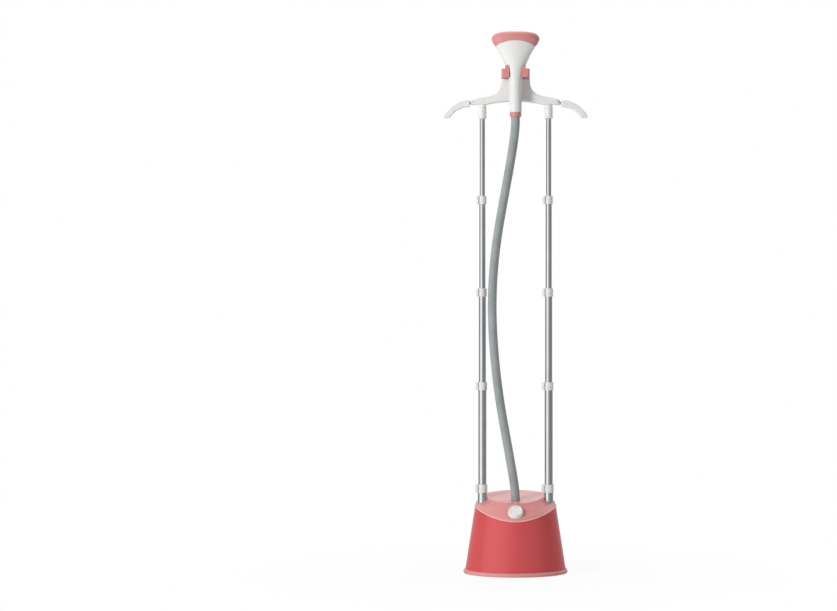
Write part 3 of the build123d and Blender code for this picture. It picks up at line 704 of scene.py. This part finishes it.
# %% Cap edge
CAP_ARC_RADIUS = 0.1275
CAP_ARC_TOP = 1.6315
CAP_SEAM = 0.0004
CAP_START_Z = 1.63
CAP_ROUNDS = 60
HEAD_SIDES = 128


def cap_edge(angle, lift):
    """Height of the cap's lower edge at each angle: the arc's height above the point's
    own x, where half the change is taken in each round."""
    z = np.full_like(angle, CAP_START_Z)
    for _ in range(CAP_ROUNDS):
        x = smooth_curve(z, ring_z, ring_half_x) * np.cos(angle)
        arc = CAP_ARC_TOP - CAP_ARC_RADIUS + np.sqrt((CAP_ARC_RADIUS + lift) ** 2 - x ** 2)
        z = 0.5 * z + 0.5 * arc
    return z


head_angle = np.linspace(0.0, 2.0 * np.pi, HEAD_SIDES, endpoint=False)
white_top = cap_edge(head_angle, 0.0)
cap_low = cap_edge(head_angle, CAP_SEAM)
print("cap edge from", round(float(white_top.min()), 4), "to", round(float(white_top.max()), 4))

# %% [markdown]
# ## Rows of the head
# The white body's rows run level up to the ledge under the steam plate, where
# close rows keep the step crisp. Above it they bend until the last one lies on the
# cap's arc, and the cap's rows go on from there. The outermost rows turn a little
# inwards, so the seam looks rounded and not knife-sharp.

# %% Head pieces
GRIP_ROWS = 62
LEDGE_ROWS = 2
PLATE_ROWS = 36
CAP_ROWS = 40
LEDGE = 0.0002
LEDGE_BELOW = 3 * LEDGE
LEDGE_ABOVE = 4 * LEDGE
FOOT_INSET = 0.97
SEAM_INSET = 0.985
NO_INSET = 1.0


def rows_between(low, high, rows):
    """Heights of even rows: low + share (high - low), where an edge may change with the angle."""
    share = np.linspace(0.0, 1.0, rows)[:, None]
    return low + share * (high - low) * np.ones(HEAD_SIDES)


def head_grid(z, inset_low, inset_high):
    """Points at the given heights; the first and last rows are drawn towards the middle."""
    grid = head_point(z, np.broadcast_to(head_angle, z.shape))
    middle = np.array([0.0, HANDLE_Y, 0.0])
    draw = np.ones((len(z), 1, 3))
    draw[0, 0, :2] = inset_low
    draw[-1, 0, :2] = inset_high
    return middle + (grid - middle) * draw


body_z = np.vstack([
    rows_between(ring_z[0], PLATE_LOW_Z - LEDGE_BELOW, GRIP_ROWS),
    rows_between(PLATE_LOW_Z, PLATE_LOW_Z + LEDGE, LEDGE_ROWS),
    rows_between(PLATE_LOW_Z + LEDGE_ABOVE, white_top, PLATE_ROWS),
])
cap_z = rows_between(cap_low, ring_z[-1], CAP_ROWS)
head_white = tube_object("head_body", head_grid(body_z, FOOT_INSET, SEAM_INSET))
head_pink = tube_object("head_cap", head_grid(cap_z, SEAM_INSET, NO_INSET))
for piece, finish, node, slot in ((head_white, white_shell, "head_shell", "white_plastic"),
                                  (head_pink, pink_trim, "head_bezel", "pink_plastic")):
    piece.data.materials.append(finish)
    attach(piece, "head")
    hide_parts(node)
    print(piece.name, len(piece.data.polygons), "faces")

# %% [markdown]
# ## The deck's rolled lip
# Where the pink deck meets the red body, its edge is rolled into a thin rib that
# catches the light, and the rib is painted a paler pink than the deck as a painted
# highlight. The seam dips towards the front, because it lies on a wide level
# cylinder. A bevel on the solid could only cut its edge away, so the rib is
# a small ring carried along that seam.

# %% Deck seam
BODY_FOOT_X = 0.1564
BODY_FOOT_Y = 0.1374
BODY_TAPER = 0.154
SEAM_RADIUS = 0.2391
SEAM_Y = 0.0215
SEAM_LEVEL = 0.2066
SEAM_ROUNDS = 40


def seam_point(angle):
    """Point of the seam at an angle round the body: on the tapered oval and on the
    cylinder, where half the change in height is taken in each round."""
    z = np.full_like(angle, SEAM_LEVEL)
    for _ in range(SEAM_ROUNDS):
        y = (BODY_FOOT_Y - BODY_TAPER * z) * np.sin(angle)
        drop = np.minimum(y - SEAM_Y, 0.0)
        arc = SEAM_LEVEL - SEAM_RADIUS + np.sqrt(SEAM_RADIUS ** 2 - drop ** 2)
        z = 0.5 * z + 0.5 * arc
    x = (BODY_FOOT_X - BODY_TAPER * z) * np.cos(angle)
    y = (BODY_FOOT_Y - BODY_TAPER * z) * np.sin(angle)
    return np.stack([x, y, z], axis=-1)


print("seam dips to z", round(float(seam_point(np.array([1.5 * math.pi]))[0, 2]), 4))

# %% Deck lip
LID_FRONT_Y = 0.0395
LIP_RADIUS = 0.0025
LIP_SINK = 0.0013
LIP_STEPS = 240
LIP_SIDES = 14


def rib_grid(line, radius, sides):
    """Rings along a line: centre + radius (cos a outwards + sin a upwards), square to the line."""
    tangent = unit(np.gradient(line, axis=0))
    out = unit(np.cross(tangent, np.array([0.0, 0.0, 1.0])))
    up = np.cross(out, tangent)
    a = np.linspace(0.0, 2.0 * np.pi, sides, endpoint=False)[None, :, None]
    return line[:, None, :] + radius * (np.cos(a) * out[:, None, :] + np.sin(a) * up[:, None, :])


rear = math.asin(LID_FRONT_Y / (BODY_FOOT_Y - BODY_TAPER * SEAM_LEVEL))
lip_angle = np.linspace(math.pi - rear, 2.0 * math.pi + rear, LIP_STEPS)
lip_line = seam_point(lip_angle) * (1.0 - LIP_SINK / BODY_FOOT_X * np.array([1.0, 1.0, 0.0]))
lip_line += np.array([0.0, 0.0, LIP_RADIUS])
deck_lip = tube_object("deck_lip", rib_grid(lip_line, LIP_RADIUS, LIP_SIDES))
# The lip's paler pink is a painted highlight.
deck_lip.data.materials.append(lip_painted_highlight)
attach(deck_lip, "base")
print("lip from z", round(float(lip_line[:, 2].min()), 4), "to",
      round(float(lip_line[:, 2].max()), 4))

# %% [markdown]
# ## What shiny parts mirror
# A polished pole is a mirror bent round itself, so it shows the whole room as
# upright bands. In an all-white room it would look flat. Mirror rays therefore meet
# painted walls: a bright screen on the left, grey to the sides and white behind.
# Real cards round the object would do the same, but they would also throw light
# and shadow on it.

# %% Mirrored walls
# Each wall: its direction in degrees, from the camera's side to the right, and its level.
MIRRORED_WALLS = [
    (-179, 1.0), (-130, 0.45), (-98, 0.30), (-84, 0.30), (-66, 1.30), (-24, 1.40),
    (-4, 0.50), (30, 0.34), (60, 0.26), (97, 0.30), (135, 0.45), (179, 1.0),
]
WALL_PEAK = 1.5
WALL_RISE = (0.4, 0.65)
CEILING_REACH = (-0.1, 0.6)
CEILING_LEVELS = (0.15, 1.0)


def build_studio_walls():
    """Brightness by direction: the walls' levels by turn about the upright, and above
    eye level a ceiling that gets brighter towards the back."""
    group, start, end = new_group("studio_walls", [("Vector", "Vector", None)],
                                  [("Strength", "Float")])
    way = add(group, "SeparateXYZ", [(0, start.outputs["Vector"])])
    ahead = math_node(group, "MULTIPLY", way.outputs["Y"], -1.0)
    turn = math_node(group, "ARCTAN2", way.outputs["X"], ahead)
    ramp = add(group, "ValToRGB", [("Fac", carry(group, turn, (-math.pi, math.pi)))])
    for degrees, level in MIRRORED_WALLS:
        stop = ramp.color_ramp.elements.new((degrees + 180) / 360)
        stop.color = (level / WALL_PEAK,) * 3 + (1.0,)
    walls = math_node(group, "MULTIPLY", ramp.outputs["Color"], WALL_PEAK)
    ceiling = carry(group, way.outputs["Y"], CEILING_REACH, CEILING_LEVELS)
    rise = carry(group, way.outputs["Z"], WALL_RISE)
    group.links.new(mix_values(group, rise, walls, ceiling), end.inputs["Strength"])
    return group


studio_walls = build_studio_walls()
print(studio_walls.name, len(studio_walls.nodes), "nodes")

# %% [markdown]
# ## The floor
# The object stands on a white sweep. The floor glows plain white to the camera, so
# that more light on the object isn't needed. Near the base a small share of common
# shading stays in it, which keeps the soft shadow. That share fades with distance,
# and so no horizon shows.

# %% Floor
WHITE = (1.0, 1.0, 1.0, 1.0)
FLOOR_GREY = (0.9, 0.9, 0.9, 1.0)
FLOOR_HALF = 12.0
SHADOW_REACH = (0.2, 0.9)
GLOW_SHARES = (0.92, 1.0)


def floor_finish():
    """Plain shading mixed with a glow: white to camera rays and through clear parts, the
    walls' level to mirror rays; the glow's share grows with the distance from the base."""
    material, tree, shader = new_finish("studio_floor")
    material.cycles.emission_sampling = "NONE"
    shader.inputs["Base Color"].default_value = FLOOR_GREY
    shader.inputs["Roughness"].default_value = 0.9
    path = add(tree, "LightPath").outputs
    place = add(tree, "TexCoord").outputs["Object"]
    walls = place_group(tree, studio_walls, place).outputs["Strength"]
    mirrored = math_node(tree, "MULTIPLY", walls, path["Is Glossy Ray"])
    clear = math_node(tree, "MAXIMUM", path["Is Camera Ray"], path["Is Transmission Ray"])
    strength = math_node(tree, "MAXIMUM", clear, mirrored)
    glow = add(tree, "Emission", [("Color", WHITE), ("Strength", strength)])
    away = add(tree, "VectorMath", [(0, place)], operation="LENGTH").outputs["Value"]
    seen = math_node(tree, "MAXIMUM", clear, path["Is Glossy Ray"])
    share = math_node(tree, "MULTIPLY", seen, carry(tree, away, SHADOW_REACH, GLOW_SHARES))
    mix = add(tree, "MixShader", [(0, share), (1, shader.outputs[0]), (2, glow.outputs[0])])
    tree.links.new(mix.outputs[0], tree.nodes["Material Output"].inputs["Surface"])
    return material


floor_corners = np.array([(-1, -1), (1, -1), (1, 1), (-1, 1)], float) * FLOOR_HALF
floor_mesh = bpy.data.meshes.new("studio_floor")
floor_mesh.from_pydata(np.c_[floor_corners, np.zeros(4)].tolist(), [], [(0, 1, 2, 3)])
floor = bpy.data.objects.new("studio_floor", floor_mesh)
floor.data.materials.append(floor_finish())
scene.collection.objects.link(floor)
print("floor", 2 * FLOOR_HALF, "m wide")

# %% [markdown]
# ## Lamps
# A tall soft lamp on the left models the round forms. A weak one on the right opens
# the shadows, one behind draws the edges and one overhead lights the deck. Mirror
# rays don't see them, because they would burn white spots into the poles.

# %% Lamps
LAMP_TARGET = (0.0, 0.0, 0.8)
# Each lamp: its name, place, width, height and power in watts.
lamps = [
    ("key_lamp", (-3.3, -3.0, 2.3), 1.0, 2.2, 158.0),
    ("fill_lamp", (3.4, -3.4, 1.6), 1.6, 2.4, 25.0),
    ("rim_lamp", (2.6, 1.6, 1.8), 0.8, 2.4, 22.0),
    ("top_lamp", (-0.4, 0.6, 4.2), 1.8, 1.8, 62.0),
]


def soft_lamp(name, place, width, height, power):
    """Area lamp that looks at the target: tipped by its angle from straight down, then turned."""
    data = bpy.data.lights.new(name, "AREA")
    data.shape = "RECTANGLE"
    data.size = width
    data.size_y = height
    data.energy = power
    lamp = bpy.data.objects.new(name, data)
    lamp.location = place
    x, y, z = np.array(LAMP_TARGET) - np.array(place)
    lamp.rotation_euler = (math.atan2(math.hypot(x, y), -z), 0.0, math.atan2(-x, y))
    lamp.visible_glossy = False
    scene.collection.objects.link(lamp)


for lamp_row in lamps:
    soft_lamp(*lamp_row)
print("lamps", len(lamps))

# %% [markdown]
# ## The surround
# Behind the object everything is white to the camera and through clear parts. Mirror
# rays see the painted walls, and all other rays get an even, weak glow, so that
# colours come out about as they were written. A photographed surround would put
# a strange room into the poles.

# %% Surround
SURROUND_GLOW = 0.16


def build_surround():
    """Background by kind of ray: white when seen, walls in mirrors, a weak glow for the rest."""
    world = bpy.data.worlds.new("studio_surround")
    world.use_nodes = True
    tree = world.node_tree
    glow = tree.nodes["Background"]
    glow.inputs["Color"].default_value = WHITE
    glow.inputs["Strength"].default_value = SURROUND_GLOW
    backdrop = add(tree, "Background", [("Color", WHITE), ("Strength", 1.0)])
    way = add(tree, "TexCoord").outputs["Generated"]
    walls = place_group(tree, studio_walls, way).outputs["Strength"]
    studio = add(tree, "Background", [("Color", WHITE), ("Strength", walls)])
    path = add(tree, "LightPath").outputs
    lit = add(tree, "MixShader", [(0, path["Is Glossy Ray"]), (1, glow.outputs[0]),
                                  (2, studio.outputs[0])])
    clear = math_node(tree, "MAXIMUM", path["Is Camera Ray"], path["Is Transmission Ray"])
    seen = add(tree, "MixShader", [(0, clear), (1, lit.outputs[0]), (2, backdrop.outputs[0])])
    tree.links.new(seen.outputs[0], tree.nodes["World Output"].inputs["Surface"])
    return world


scene.world = build_surround()
scene.view_settings.view_transform = "Standard"
print("surround ready")
